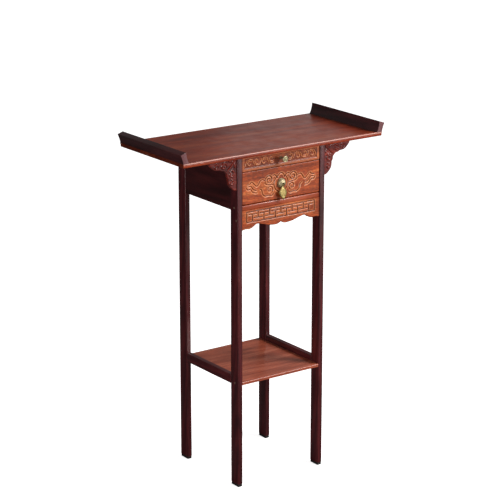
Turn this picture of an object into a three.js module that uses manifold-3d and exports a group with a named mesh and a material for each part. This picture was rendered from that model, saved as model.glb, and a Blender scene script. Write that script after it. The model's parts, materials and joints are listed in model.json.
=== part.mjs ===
// A tall household altar cabinet: a wide top with upturned ends, two carved drawers, a fretted apron,
// carved brackets beside the front legs, and a low shelf between four slim legs.
// Millimetres. +X is to the right seen from the front, the front faces -Y, and +Z is up.
// The origin is on the floor, below the middle of the top.
import * as THREE from "three";
import { mergeVertices } from "three/addons/utils/BufferGeometryUtils.js";
import Module from "manifold-3d";

const wasm = await Module();
wasm.setup();

// Driving sizes of the stand
const topWidth = 750;
const topDepth = 350;
const topHeight = 1080;
const topThickness = 13.5;
const legHalfSpan = 165;
const legThickness = 17;
const legDepth = 40;
const frontLegFace = -154;
const rearLegFace = 172;
const footHeight = 8;
const footInset = 1;
const caseBottomHeight = 896.5;
const shelfTop = 348;
const shelfThickness = 10;
const shelfRear = 166;
const shelfRailBottom = 337;
const shelfRailTop = 366;
const legCorner = 2;
const shelfNosing = 2.5;

// Driving sizes of the upturned ends: distances in from the top's end, and heights above the top
const endInside = { foot: 22, lean: 14, rim: 11, leanHeight: 9, rimHeight: 34 };
const endOutside = { foot: 1, lean: -2, rim: -9, leanHeight: 14, rimHeight: 27.5 };
const endRebate = 1;
const endGap = 0.3;

// Driving sizes of the front
const frontRecess = 4;
const railHeight = 16;
const railDepth = 16;
const railRounding = 3;
const apronBottom = 835.5;
const apronThickness = 12;
const drawerHalfWidth = 146;
const drawerFrontThickness = 14;
const lowerDrawerRange = [915.5, 1015.5];
const upperDrawerRange = [1018, 1065];
const drawerBoxTops = { upper: 1053, lower: 1006 };
const drawerBoxInset = 1;
const drawerRear = 130;
const drawerWall = 8;
const drawerBottomThickness = 4;
const runnerWidth = 9;
const runnerHeight = 9;
const runnerTop = 1019;
const runnerSetback = 3;
const slideGap = 0.5;

// Driving sizes of the panels
const panelThickness = 11;
const panelRecess = 2;
const backPanelThickness = 8;
const backPanelInset = 6;
const caseFloorThickness = 8;

// Driving sizes of the carving
const fretPitch = 42.9;
const fretLine = 4.2;
const fretDepth = 2;
const fretHalfWidth = 129;
const fretArmShare = 0.36;
const fretLevels = { bottom: 857.7, lowBar: 869.2, highBar: 880.8, top: 890 };
const cloudLine = 2.6;
const cloudDepth = 1.6;
const fieldDepth = 2.5;
const fieldBorder = 8.5;
const vineLine = 3;
const vineHeight = 1.7;
const bracketThickness = 12;
const bracketRelief = 3;
const bracketReach = 102;
const bracketLine = 5;
const bracketRecess = 2;

// Driving sizes of the fittings
const knobHeight = 1043;
const knobFace = -174.8;
const knobRadius = 10;
const bossHeight = 964;
const bossRadius = 15.8;
const bossRise = 11.5;
const bossFlange = 1.4;
const slotHalfWidth = 6.5;
const slotTop = 966;
const pivotHeight = 958;
const pivotRise = 6;
const pinRadius = 1.6;
const knuckleRadius = 3.4;
const dropTilt = 9;
const dropThickness = 4.4;
const capRadius = 3.5;
const capRise = 0.8;
const capPlaces = { apron: [-145, 868], rail: [-134, 907], shelf: [-136, 344] };

// Places that follow from the driving sizes
const underside = topHeight - topThickness;
const legInside = legHalfSpan - legThickness;
const frontLegBack = frontLegFace + legDepth;
const rearLegFront = rearLegFace - legDepth;
const frontFace = frontLegFace + frontRecess;
const railTop = caseBottomHeight + railHeight;
const drawerFrontBack = frontFace + drawerFrontThickness;
const pivotY = frontFace - pivotRise;

const looks = {
  frame: { color: 0x3a1518, roughness: 0.42, metalness: 0 },
  panel: { color: 0x23100f, roughness: 0.5, metalness: 0 },
  top: { color: 0x77372b, roughness: 0.35, metalness: 0 },
  front: { color: 0xa8562f, roughness: 0.45, metalness: 0 },
  bracket: { color: 0x6e2822, roughness: 0.42, metalness: 0 },
  inside: { color: 0x8f6a48, roughness: 0.7, metalness: 0 },
  brass: { color: 0xc2b183, roughness: 0.35, metalness: 1 },
  cap: { color: 0x5a3a2e, roughness: 0.5, metalness: 0 },
  foot: { color: 0x17120f, roughness: 0.8, metalness: 0 },
};

const sides = [["left", -1], ["right", 1]];
const cabinet = new THREE.Group();

// Adds one named piece, with a material of its own.
function addPiece(name, look, geometry) {
  const mesh = new THREE.Mesh(geometry, new THREE.MeshStandardMaterial(looks[look]));
  mesh.name = name;
  cabinet.add(mesh);
}

// A closed geometry as a solid that can be joined and cut.
function solidOf(geometry) {
  const bare = geometry.clone().deleteAttribute("normal").deleteAttribute("uv");
  const merged = mergeVertices(bare, 1e-4);
  return new wasm.Manifold(new wasm.Mesh({
    numProp: 3,
    vertProperties: new Float32Array(merged.attributes.position.array),
    triVerts: new Uint32Array(merged.index.array),
  }));
}

// A solid back as a geometry.
function geometryOf(solid) {
  const mesh = solid.getMesh();
  const geometry = new THREE.BufferGeometry();
  geometry.setAttribute("position", new THREE.BufferAttribute(mesh.vertProperties, 3));
  geometry.setIndex(new THREE.BufferAttribute(mesh.triVerts, 1));
  geometry.computeVertexNormals();
  return geometry;
}

function block(x, y, z) {
  const geometry = new THREE.BoxGeometry(x[1] - x[0], y[1] - y[0], z[1] - z[0]);
  return geometry.translate((x[0] + x[1]) / 2, (y[0] + y[1]) / 2, (z[0] + z[1]) / 2);
}

// Two distances from the middle as a range of X on one side, the lower value first.
function outwards(side, near, far) {
  return side > 0 ? [near, far] : [-far, -near];
}

function point(x, z) {
  return new THREE.Vector2(x, z);
}

function mirrored(points) {
  return points.map((p) => point(-p.x, p.y));
}

// A shape drawn in X and Z, given its thickness between two values of Y.
function frontExtrusion(shape, y, options = {}) {
  const rise = options.bevel ?? 0;
  const geometry = new THREE.ExtrudeGeometry(shape, {
    depth: y[1] - y[0] - 2 * rise,
    bevelEnabled: rise > 0,
    bevelThickness: rise,
    bevelSize: rise,
    bevelOffset: -rise,
    bevelSegments: 1,
    curveSegments: options.curveSegments ?? 8,
  });
  return geometry.rotateX(Math.PI / 2).translate(0, y[1] - rise, 0);
}

// A rectangle with rounded corners, between two values of each of its two axes.
function roundedRectangle(x, y, radius) {
  const shape = new THREE.Shape();
  shape.absarc(x[1] - radius, y[0] + radius, radius, -Math.PI / 2, 0);
  shape.absarc(x[1] - radius, y[1] - radius, radius, 0, Math.PI / 2);
  shape.absarc(x[0] + radius, y[1] - radius, radius, Math.PI / 2, Math.PI);
  shape.absarc(x[0] + radius, y[0] + radius, radius, Math.PI, 1.5 * Math.PI);
  shape.closePath();
  return shape;
}

function rectangle(x, z) {
  return new THREE.Shape([point(x[0], z[0]), point(x[1], z[0]), point(x[1], z[1]), point(x[0], z[1])]);
}

// A smooth line through a few points.
function smoothLine(points, steps) {
  return new THREE.SplineCurve(points).getPoints(steps);
}

// A line that winds about a centre while its radius changes evenly. The angles are in degrees.
function volute(centre, radii, angles, steps) {
  return Array.from({ length: steps + 1 }, (_, i) => {
    const t = i / steps;
    const radius = THREE.MathUtils.lerp(radii[0], radii[1], t);
    const angle = THREE.MathUtils.degToRad(THREE.MathUtils.lerp(angles[0], angles[1], t));
    return point(centre.x + radius * Math.cos(angle), centre.y + radius * Math.sin(angle));
  });
}

// A carved line as a solid between two values of Y, with a width at each of them. endFullness is the
// share of those widths that is left at its two ends.
function strokeSolid(points, widths, y, endFullness = 0.4) {
  const last = points.length - 1;
  const positions = points.flatMap((p, i) => {
    const along = points[Math.min(i + 1, last)].clone().sub(points[Math.max(i - 1, 0)]).normalize();
    const fullness = i === 0 || i === last ? endFullness : 1;
    return [0, 1].flatMap((level) => {
      const half = (widths[level] / 2) * fullness;
      return [1, -1].flatMap((side) =>
        [p.x - side * along.y * half, y[level], p.y + side * along.x * half]);
    });
  });
  const faces = [1, 0, 2, 1, 2, 3];
  for (let i = 0; i < last; i++) {
    const [left0, right0, left1, right1] = [0, 1, 2, 3].map((corner) => 4 * i + corner);
    faces.push(right0, right0 + 4, left0 + 4, right0, left0 + 4, left0);
    faces.push(right1, left1 + 4, right1 + 4, right1, left1, left1 + 4);
    faces.push(right0, right1, right1 + 4, right0, right1 + 4, right0 + 4);
    faces.push(left0, left1 + 4, left1, left0, left0 + 4, left1 + 4);
  }
  const end = 4 * last;
  faces.push(end + 1, end + 2, end, end + 1, end + 3, end + 2);
  const geometry = new THREE.BufferGeometry();
  geometry.setAttribute("position", new THREE.Float32BufferAttribute(positions, 3));
  geometry.setIndex(faces);
  return solidOf(geometry);
}

// A groove that slopes down from its full width at a face to a narrow floor.
function grooveSolid(points, width, face, depth, endFullness) {
  const above = 0.4;
  const widths = [width * (1 + (0.6 * above) / depth), width * 0.4];
  return strokeSolid(points, widths, [face - above, face + depth], endFullness);
}

// A ridge that stands on a face and narrows towards its crest.
function ridgeSolid(points, width, face, rise) {
  const below = 0.6;
  const widths = [width * 0.45, width * (1 + (0.55 * below) / rise)];
  return strokeSolid(points, widths, [face - rise, face + below]);
}

function joinAll(solids) {
  return solids.reduce((whole, next) => whole.add(next));
}

// A board as levels of one rectangle, drawn in and let out to mould the edge on all four sides.
function mouldedBoard() {
  const levels = [
    [3, 0],
    [2, 0.8],
    [1.2, 4],
    [1, 7.4],
    [1.8, 8.2],
    [1.8, 8.8],
    [0.3, 9.4],
    [0, 11],
    [0.3, 12.6],
    [1.2, topThickness],
  ];
  const corners = [[-1, -1], [1, -1], [1, 1], [-1, 1]];
  const positions = levels.flatMap(([inset, rise]) =>
    corners.flatMap(([x, y]) => [x * (topWidth / 2 - inset), y * (topDepth / 2 - inset), underside + rise]));
  const faces = [0, 2, 1, 0, 3, 2];
  for (let level = 0; level < levels.length - 1; level++) {
    for (let side = 0; side < 4; side++) {
      const a = level * 4 + side;
      const b = level * 4 + ((side + 1) % 4);
      faces.push(a, b, b + 4, a, b + 4, a + 4);
    }
  }
  const lid = (levels.length - 1) * 4;
  faces.push(lid, lid + 1, lid + 2, lid, lid + 2, lid + 3);
  const geometry = new THREE.BufferGeometry();
  geometry.setAttribute("position", new THREE.Float32BufferAttribute(positions, 3));
  geometry.setIndex(faces);
  return solidOf(geometry);
}

// The top: a moulded board with a shallow rebate at each end, for the foot of the upturned strip.
function mouldedTop() {
  const foot = topWidth / 2 - endInside.foot - endGap;
  const rebates = sides.map(([, side]) => solidOf(block(outwards(side, foot, topWidth),
    [-topDepth, topDepth], [topHeight - endRebate, topHeight + endRebate])));
  return geometryOf(mouldedBoard().subtract(joinAll(rebates)));
}

// An upturned end: a strip that leans outwards and flares, as deep as the top.
function upturnedEnd(side) {
  const face = ({ foot, lean, rim, leanHeight, rimHeight }) => {
    const places = [[foot, -endRebate], [lean, leanHeight], [rim, rimHeight]];
    const points = places.map(([inset, rise]) => point(topWidth / 2 - inset, topHeight + rise));
    return new THREE.QuadraticBezierCurve(...points);
  };
  const outline = [...face(endOutside).getPoints(6), ...face(endInside).getPoints(8).reverse()];
  const section = side > 0 ? outline : mirrored(outline).reverse();
  return frontExtrusion(new THREE.Shape(section), [-topDepth / 2, topDepth / 2], { bevel: 0.8 });
}

// The legs stand on small dark feet.
function addLegs() {
  const rows = { front: [frontLegFace, frontLegBack], rear: [rearLegFront, rearLegFace] };
  for (const [row, y] of Object.entries(rows)) {
    for (const [label, side] of sides) {
      const x = outwards(side, legInside, legHalfSpan);
      const leg = new THREE.ExtrudeGeometry(roundedRectangle(x, y, legCorner), {
        depth: underside - footHeight,
        bevelEnabled: false,
        curveSegments: 2,
      });
      addPiece(`${row}_${label}_leg`, "frame", leg.translate(0, 0, footHeight));
      const footX = [x[0] + footInset, x[1] - footInset];
      const footY = [y[0] + footInset, y[1] - footInset];
      const foot = new THREE.ExtrudeGeometry(roundedRectangle(footX, footY, legCorner), {
        depth: footHeight,
        bevelEnabled: false,
        curveSegments: 2,
      });
      addPiece(`${row}_${label}_foot`, "foot", foot);
    }
  }
}

// The panels, the floor and the runners, all between the legs.
function addCase() {
  const backOutside = rearLegFace - backPanelInset;
  const backInside = backOutside - backPanelThickness;
  const panelOutside = legHalfSpan - panelRecess;
  for (const [label, side] of sides) {
    const panelX = outwards(side, panelOutside - panelThickness, panelOutside);
    const panel = block(panelX, [frontLegBack, rearLegFront], [caseBottomHeight, underside]);
    addPiece(`${label}_side_panel`, "panel", panel);
    const runnerX = outwards(side, legInside - runnerWidth, legInside);
    const runnerY = [drawerFrontBack + runnerSetback, backInside];
    const runner = block(runnerX, runnerY, [runnerTop - runnerHeight, runnerTop]);
    addPiece(`${label}_drawer_runner`, "inside", runner);
  }
  const across = [-legInside, legInside];
  addPiece("back_panel", "panel", block(across, [backInside, backOutside], [caseBottomHeight, underside]));
  const floorHeights = [railTop - caseFloorThickness, railTop];
  const floorDepth = [frontFace + railDepth, backInside];
  addPiece("case_floor", "inside", block(across, floorDepth, floorHeights));
}

// Turns a section drawn in Y and Z, and extruded upwards, so that it runs along X.
function lengthwise() {
  const alongY = new THREE.Vector3(0, 1, 0);
  const alongZ = new THREE.Vector3(0, 0, 1);
  return new THREE.Matrix4().makeBasis(alongY, alongZ, new THREE.Vector3(1, 0, 0));
}

// The rail under the drawers has rounded edges.
function frontRail() {
  const section = roundedRectangle([frontFace, frontFace + railDepth], [caseBottomHeight, railTop],
    railRounding);
  const rail = new THREE.ExtrudeGeometry(section, {
    depth: 2 * legInside,
    bevelEnabled: false,
    curveSegments: 3,
  });
  return rail.applyMatrix4(lengthwise()).translate(-legInside, 0, 0);
}

// The lower edge of the apron from its middle to its right end.
function apronEdge() {
  const low = apronBottom;
  return [
    point(0, low + 7.5),
    ...smoothLine([point(5, low + 3.5), point(13, low + 0.4), point(24, low), point(45, low + 2.5),
      point(70, low + 9.5), point(87, low + 13), point(97, low + 10.5), point(108, low + 3.5),
      point(120, low)], 22),
    point(126, low + 1.6),
    point(134, low + 2),
    point(141, low + 0.4),
    point(legInside, low),
  ];
}

// The fret: a groove round it, and grooves shaped as a T, standing and hanging by turns.
function fretGrooves() {
  const groove = (...ends) => grooveSolid(ends, fretLine, frontFace, fretDepth, 1);
  const reach = fretHalfWidth + fretLine / 2;
  const grooves = [
    groove(point(-reach, fretLevels.top), point(reach, fretLevels.top)),
    groove(point(-reach, fretLevels.bottom), point(reach, fretLevels.bottom)),
    groove(point(-fretHalfWidth, fretLevels.bottom), point(-fretHalfWidth, fretLevels.top)),
    groove(point(fretHalfWidth, fretLevels.bottom), point(fretHalfWidth, fretLevels.top)),
  ];
  const armLength = fretPitch * fretArmShare;
  for (let k = -5; k <= 5; k++) {
    const x = (k * fretPitch) / 2;
    const hanging = k % 2 === 0;
    const level = hanging ? fretLevels.lowBar : fretLevels.highBar;
    const rim = hanging ? fretLevels.top : fretLevels.bottom;
    grooves.push(groove(point(x - armLength, level), point(x + armLength, level)));
    grooves.push(groove(point(x, level), point(x, rim)));
  }
  return joinAll(grooves);
}

function apron() {
  const edge = apronEdge();
  const outline = [
    ...mirrored(edge).reverse().slice(0, -1),
    ...edge,
    point(legInside, caseBottomHeight),
    point(-legInside, caseBottomHeight),
  ];
  const board = solidOf(frontExtrusion(new THREE.Shape(outline), [frontFace, frontFace + apronThickness]));
  return geometryOf(board.subtract(fretGrooves()));
}

// The right half of the cloud on the lower drawer, line by line.
function cloudLines() {
  const ringCentre = point(0, bossHeight);
  const upperVolute = volute(point(45, 979.5), [15.5, 4], [-35, 490], 22);
  const lowerVolute = volute(point(42, 949), [12.5, 3.5], [-115, -520], 16);
  const shoulder = smoothLine([point(33, 989), point(26, 992.5), point(18, 988), point(14.5, 981)], 6);
  const band = smoothLine([point(29, 963), point(40, 963.5), point(52, 965.5), point(62, 971)], 5);
  const tailTop = smoothLine([point(61, 979), point(70, 983.5), point(78.5, 981), point(85, 971),
    point(92, 966.5), point(99.5, 972.5), point(107, 980), point(112.5, 981), point(118, 976),
    point(130, 974)], 16);
  const tailMiddle = smoothLine([point(125, 968), point(113, 968.5), point(104, 958), point(91, 952.5)], 7);
  const tailBottom = smoothLine([point(132, 968), point(125, 960), point(114, 959), point(105, 949),
    point(89, 944.5)], 9);
  const belly = smoothLine([point(82, 957), point(73, 951.5), point(69, 938), point(59, 930.5),
    point(46, 931.5), point(34, 929.5), point(27.5, 936)], 12);
  const ring = volute(ringCentre, [26.5, 26.5], [-88, 50], 9);
  return [upperVolute, lowerVolute, shoulder, band, tailTop, tailMiddle, tailBottom, belly, ring];
}

function lowerDrawerFront() {
  const crown = volute(point(0, 983), [12.5, 12.5], [-12, 192], 10);
  const lines = [crown, ...cloudLines().flatMap((line) => [line, mirrored(line)])];
  const grooves = joinAll(lines.map((line) => grooveSolid(line, cloudLine, frontFace, cloudDepth)));
  const face = rectangle([-drawerHalfWidth, drawerHalfWidth], lowerDrawerRange);
  const board = solidOf(frontExtrusion(face, [frontFace, drawerFrontBack], { bevel: 1 }));
  return geometryOf(board.subtract(grooves));
}

// The right half of the vine on the upper drawer: curls that turn up and down by turns, with leaves.
function vineLines() {
  const lines = [];
  const curlPitch = 27;
  for (let k = 0; k < 4; k++) {
    const turn = k % 2 === 0 ? 1 : -1;
    const centre = point(37 + k * curlPitch, knobHeight - 1 + turn * 3);
    lines.push(volute(centre, [9.5, 2.8], [turn * -150, turn * 200], 10));
    const leafRoot = point(centre.x + 8, centre.y - turn * 11);
    lines.push(smoothLine([leafRoot, point(centre.x + 13, centre.y - turn * 3),
      point(centre.x + 16, centre.y + turn * 7)], 4));
    lines.push(smoothLine([point(centre.x - 9, centre.y - turn * 12),
      point(centre.x - 1, centre.y - turn * 13), point(centre.x + 5, centre.y - turn * 10)], 3));
  }
  return lines;
}

function upperDrawerFront() {
  const [low, high] = upperDrawerRange;
  const fieldX = drawerHalfWidth - fieldBorder;
  const fieldZ = [low + fieldBorder - 1, high - fieldBorder + 1];
  const floor = frontFace + fieldDepth;
  const face = rectangle([-drawerHalfWidth, drawerHalfWidth], [low, high]);
  const board = solidOf(frontExtrusion(face, [frontFace, drawerFrontBack], { bevel: 1 }));
  const slope = fieldDepth - 0.5;
  const field = solidOf(frontExtrusion(rectangle([-fieldX, fieldX], fieldZ),
    [frontFace - slope - 1, floor], { bevel: slope }));
  const lines = vineLines().flatMap((line) => [line, mirrored(line)]);
  const vine = joinAll(lines.map((line) => ridgeSolid(line, vineLine, floor, vineHeight)));
  return geometryOf(board.subtract(field).add(vine));
}

// Sides, back and bottom of a drawer, open at the top.
function addDrawerBox(name, bottom, top) {
  const halfWidth = drawerHalfWidth - drawerBoxInset;
  const inner = halfWidth - drawerWall;
  const depth = [drawerFrontBack, drawerRear];
  const backFront = drawerRear - drawerWall;
  addPiece(`${name}_left_side`, "inside", block([-halfWidth, -inner], depth, [bottom, top]));
  addPiece(`${name}_right_side`, "inside", block([inner, halfWidth], depth, [bottom, top]));
  addPiece(`${name}_back`, "inside", block([-inner, inner], [backFront, drawerRear], [bottom, top]));
  const floor = [bottom + drawerBottomThickness, bottom + 2 * drawerBottomThickness];
  addPiece(`${name}_bottom`, "inside", block([-inner, inner], [drawerFrontBack, backFront], floor));
}

// The bracket's outline is the same on both sides of its diagonal: u runs out from the leg and v down
// from the top, and the half from the outer tip to the diagonal is drawn once.
function bracketOutline() {
  const lobe = smoothLine([point(bracketReach, 0), point(100, 11.5), point(93, 20), point(85, 26.8),
    point(75, 31), point(62, 32)], 9);
  const step = smoothLine([point(58.5, 34.4), point(54.5, 35.8), point(47, 37.2), point(41.5, 41.5)], 5);
  const half = [...lobe, ...step];
  const swapped = half.slice(0, -1).map((p) => point(p.y, p.x)).reverse();
  return [...half, ...swapped, point(0, 0)];
}

// The curls carved on a bracket, in the same u and v.
function bracketLines() {
  const half = [
    volute(point(48, 21), [12, 3.6], [-200, 190], 11),
    volute(point(75, 20), [9.5, 3.2], [-190, 120], 9),
    smoothLine([point(7, 5), point(18, 10), point(31, 7)], 4),
  ];
  const swapped = half.map((line) => line.map((p) => point(p.y, p.x)).reverse());
  const leaf = smoothLine([point(9, 9), point(22, 24), point(36, 36)], 4);
  return [...half, ...swapped, leaf];
}

function bracket(side) {
  const back = frontLegFace + bracketRecess + bracketThickness;
  const face = back - bracketThickness + bracketRelief;
  const place = (p) => point(side * (legHalfSpan + p.x), underside - p.y);
  const placed = (points) => (side > 0 ? points.map(place).reverse() : points.map(place));
  const outline = new THREE.Shape(placed(bracketOutline()));
  const plate = solidOf(frontExtrusion(outline, [face, back], { bevel: 1.2 }));
  const carving = joinAll(bracketLines().map((line) =>
    ridgeSolid(placed(line), bracketLine, face, bracketRelief)));
  return geometryOf(plate.add(carving));
}

// A round fitting turned about a line along Y: the profile gives radius and distance out from a face.
function turnedFitting(profile, height, face, sides) {
  const points = profile.map(([radius, out]) => point(radius, face - out)).reverse();
  return new THREE.LatheGeometry(points, sides).translate(0, 0, height);
}

// The knob: a slim neck and a round head, with a dome inside a sunk ring on its face.
function knob() {
  const face = frontFace + fieldDepth;
  const reach = face - knobFace;
  return turnedFitting([
    [0, 0], [5, 0], [5, 1.2], [3.6, 3], [3.5, reach - 12], [5.2, reach - 8.4], [8.6, reach - 5.8],
    [knobRadius, reach - 4], [knobRadius, reach - 2.6], [8.8, reach - 1.4], [6.8, reach - 1.8],
    [5.8, reach - 2.6], [4.6, reach - 1.2], [2.6, reach - 0.3], [0, reach],
  ], knobHeight, face, 20);
}

// A round bar along X, about the pull's pivot.
function pivotBar(radius, length, turns) {
  const bar = new THREE.CylinderGeometry(radius, radius, length, turns).rotateZ(Math.PI / 2);
  return solidOf(bar.translate(0, pivotY, pivotHeight));
}

// The boss of the lower drawer's pull: a dome with an arched slot, and a pin across the slot.
function pullBoss() {
  const domeRadius = bossRadius - bossFlange;
  const dome = Array.from({ length: 7 }, (_, i) => {
    const angle = (i / 6) * (Math.PI / 2);
    return [domeRadius * Math.cos(angle), bossFlange + (bossRise - bossFlange) * Math.sin(angle)];
  });
  dome[dome.length - 1][0] = 0;
  const body = solidOf(turnedFitting([[0, 0], [bossRadius, 0], [bossRadius, bossFlange], ...dome],
    bossHeight, frontFace, 24));
  const arch = new THREE.Shape();
  arch.absarc(0, slotTop - slotHalfWidth, slotHalfWidth, 0, Math.PI);
  arch.lineTo(-slotHalfWidth, bossHeight - bossRadius - 1);
  arch.lineTo(slotHalfWidth, bossHeight - bossRadius - 1);
  arch.closePath();
  const slot = solidOf(frontExtrusion(arch, [frontFace - bossRise - 2, frontFace - bossFlange]));
  return geometryOf(body.subtract(slot).add(pivotBar(pinRadius, 2 * slotHalfWidth + 3, 12)));
}

// The drop: a flat teardrop on a neck, under a knuckle that turns on the pin. It rests on the boss and so
// hangs tilted a little outwards. Its outline is drawn as half widths down from the pivot.
function dropPull() {
  const down = (halfWidth, distance) => point(halfWidth, pivotHeight - distance);
  const half = [
    down(4, 0),
    down(4, 6),
    ...smoothLine([down(6, 8), down(7.2, 10), down(10.3, 13), down(12.8, 17), down(14, 22.5), down(13.2, 27.5),
      down(10.4, 33), down(7.2, 37.5), down(4.2, 41), down(1.2, 44.5)], 14),
  ];
  const outline = new THREE.Shape([...half, ...mirrored(half).reverse()]);
  const y = [pivotY - dropThickness / 2, pivotY + dropThickness / 2];
  const plate = frontExtrusion(outline, y, { bevel: 1 })
    .translate(0, -pivotY, -pivotHeight)
    .rotateX(THREE.MathUtils.degToRad(-dropTilt))
    .translate(0, pivotY, pivotHeight);
  const knuckle = pivotBar(knuckleRadius, 2 * slotHalfWidth - 1.2, 16);
  const bore = pivotBar(pinRadius + 0.6, 2 * slotHalfWidth, 12);
  return geometryOf(solidOf(plate).add(knuckle).subtract(bore));
}

// The shelf has a rounded front edge. It lies between the legs and between the two side rails.
function shelf() {
  const z = [shelfTop - shelfThickness, shelfTop];
  const section = roundedRectangle([frontLegFace, shelfRear], z, shelfNosing);
  const board = new THREE.ExtrudeGeometry(section, {
    depth: 2 * legInside,
    bevelEnabled: false,
    curveSegments: 3,
  });
  return board.applyMatrix4(lengthwise()).translate(-legInside, 0, 0);
}

// Small round caps on the legs' outer faces, over the screws that hold the apron, the rail and the shelf.
function addCaps() {
  for (const [label, side] of sides) {
    for (const [place, [y, z]] of Object.entries(capPlaces)) {
      const cap = new THREE.CylinderGeometry(capRadius - 0.6, capRadius, capRise, 10)
        .rotateZ(-side * (Math.PI / 2)).translate(side * (legHalfSpan + capRise / 2), y, z);
      addPiece(`${label}_${place}_screw_cap`, "cap", cap);
    }
  }
}

addPiece("top_board", "top", mouldedTop());
for (const [label, side] of sides) {
  addPiece(`${label}_upturned_end`, "top", upturnedEnd(side));
  addPiece(`${label}_front_bracket`, "bracket", bracket(side));
  const railX = outwards(side, legInside, legHalfSpan);
  const rail = block(railX, [frontLegBack, rearLegFront], [shelfRailBottom, shelfRailTop]);
  addPiece(`${label}_shelf_rail`, "frame", rail);
}
addLegs();
addCase();
addCaps();
addPiece("front_rail", "front", frontRail());
addPiece("apron", "front", apron());
addPiece("lower_shelf", "top", shelf());
addPiece("upper_drawer_front", "front", upperDrawerFront());
addDrawerBox("upper_drawer", runnerTop + slideGap, drawerBoxTops.upper);
addPiece("upper_drawer_knob", "brass", knob());
addPiece("lower_drawer_front", "front", lowerDrawerFront());
addDrawerBox("lower_drawer", railTop + slideGap, drawerBoxTops.lower);
addPiece("lower_drawer_pull_boss", "brass", pullBoss());
addPiece("lower_drawer_drop_pull", "brass", dropPull());

export default cabinet;
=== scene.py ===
import json
import math

import bpy
import numpy as np
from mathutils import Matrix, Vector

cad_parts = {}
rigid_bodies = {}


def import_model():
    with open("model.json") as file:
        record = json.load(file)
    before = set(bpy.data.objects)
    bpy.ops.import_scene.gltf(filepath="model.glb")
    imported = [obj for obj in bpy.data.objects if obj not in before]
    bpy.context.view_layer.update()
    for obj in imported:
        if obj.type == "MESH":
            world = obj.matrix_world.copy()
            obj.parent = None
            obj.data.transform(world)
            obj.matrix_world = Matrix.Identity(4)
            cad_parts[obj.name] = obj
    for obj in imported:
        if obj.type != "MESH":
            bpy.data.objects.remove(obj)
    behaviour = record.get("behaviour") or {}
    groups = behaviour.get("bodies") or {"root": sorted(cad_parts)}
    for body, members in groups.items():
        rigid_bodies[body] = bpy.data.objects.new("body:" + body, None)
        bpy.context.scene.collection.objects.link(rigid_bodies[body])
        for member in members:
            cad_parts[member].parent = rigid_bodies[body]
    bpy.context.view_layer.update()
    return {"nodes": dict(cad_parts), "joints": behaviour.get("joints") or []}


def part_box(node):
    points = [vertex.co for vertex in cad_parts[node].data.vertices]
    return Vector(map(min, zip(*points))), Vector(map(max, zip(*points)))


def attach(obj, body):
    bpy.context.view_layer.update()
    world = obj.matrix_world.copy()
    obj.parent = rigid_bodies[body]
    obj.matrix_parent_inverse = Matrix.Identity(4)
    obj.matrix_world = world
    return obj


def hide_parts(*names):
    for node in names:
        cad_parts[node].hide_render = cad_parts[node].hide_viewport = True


for leftover in list(bpy.data.objects):
    bpy.data.objects.remove(leftover)
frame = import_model()
mm = 0.001
print("frame loaded")


# camera first, so the framing is known
cameraSettings = {
    "place": (-3.4751, -4.8503, 2.4534),
    "target": (0.0206, 0.0434, 0.7007),
    "roll": -0.011,
    "lens": 141.87,
    "sensor": 36,
    "farthest": 80,
}


def facing(place, aim, roll=0.0):
    # the turn that points a camera or a lamp from its place to its aim
    away = [a - p for a, p in zip(aim, place)]
    tilt = math.atan2(away[2], math.hypot(away[0], away[1]))
    return math.pi / 2 + tilt, math.radians(roll), math.atan2(-away[0], away[1])


def makeCamera(settings):
    lens = bpy.data.cameras.new("standCamera")
    lens.lens = settings["lens"]
    lens.sensor_width = settings["sensor"]
    lens.clip_end = settings["farthest"]
    camera = bpy.data.objects.new("standCamera", lens)
    bpy.context.scene.collection.objects.link(camera)
    camera.location = settings["place"]
    camera.rotation_euler = facing(settings["place"], settings["target"], settings["roll"])
    bpy.context.scene.camera = camera


makeCamera(cameraSettings)
print("camera set")


# modelling helpers
def clearSelection():
    if bpy.context.object and bpy.context.object.mode != "OBJECT":
        bpy.ops.object.mode_set(mode="OBJECT")
    bpy.ops.object.select_all(action="DESELECT")


def pick(piece):
    clearSelection()
    piece.select_set(True)
    bpy.context.view_layer.objects.active = piece


def settle(piece, name):
    pick(piece)
    piece.name = name
    bpy.ops.object.transform_apply(location=True, rotation=True, scale=True)
    return piece


def editSelected(piece, kind, wanted):
    # goes into edit mode with only the wanted faces or edges selected
    pick(piece)
    bpy.ops.object.mode_set(mode="EDIT")
    bpy.ops.mesh.select_mode(type=kind)
    bpy.ops.mesh.select_all(action="DESELECT")
    bpy.ops.object.mode_set(mode="OBJECT")
    for part in piece.data.polygons if kind == "FACE" else piece.data.edges:
        part.select = bool(wanted(part))
    bpy.ops.object.mode_set(mode="EDIT")


def editAll(piece):
    pick(piece)
    bpy.ops.object.mode_set(mode="EDIT")
    bpy.ops.mesh.select_all(action="SELECT")


def leaveEdit():
    bpy.ops.object.mode_set(mode="OBJECT")


def smooth(piece, angle):
    pick(piece)
    bpy.ops.object.shade_smooth_by_angle(angle=math.radians(angle))


def soften(piece, width, segments=3, angle=35):
    # rounds the edges that turn by more than the angle, over a width in mm
    pick(piece)
    bevel = piece.modifiers.new("soften", "BEVEL")
    bevel.width = width * mm
    bevel.segments = segments
    bevel.limit_method = "ANGLE"
    bevel.angle_limit = math.radians(angle)
    bpy.ops.object.modifier_apply(modifier="soften")
    smooth(piece, 40)


def addBlock(name, low, high):
    clearSelection()
    low, high = np.array(low), np.array(high)
    bpy.ops.mesh.primitive_cube_add(size=1, location=(low + high) / 2)
    bpy.context.object.scale = high - low
    return settle(bpy.context.object, name)


def verticesOf(piece):
    flat = np.zeros(len(piece.data.vertices) * 3)
    piece.data.vertices.foreach_get("co", flat)
    return flat.reshape(-1, 3)


def moveVertices(piece, places):
    piece.data.vertices.foreach_set("co", places.ravel())
    piece.data.update()


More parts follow.
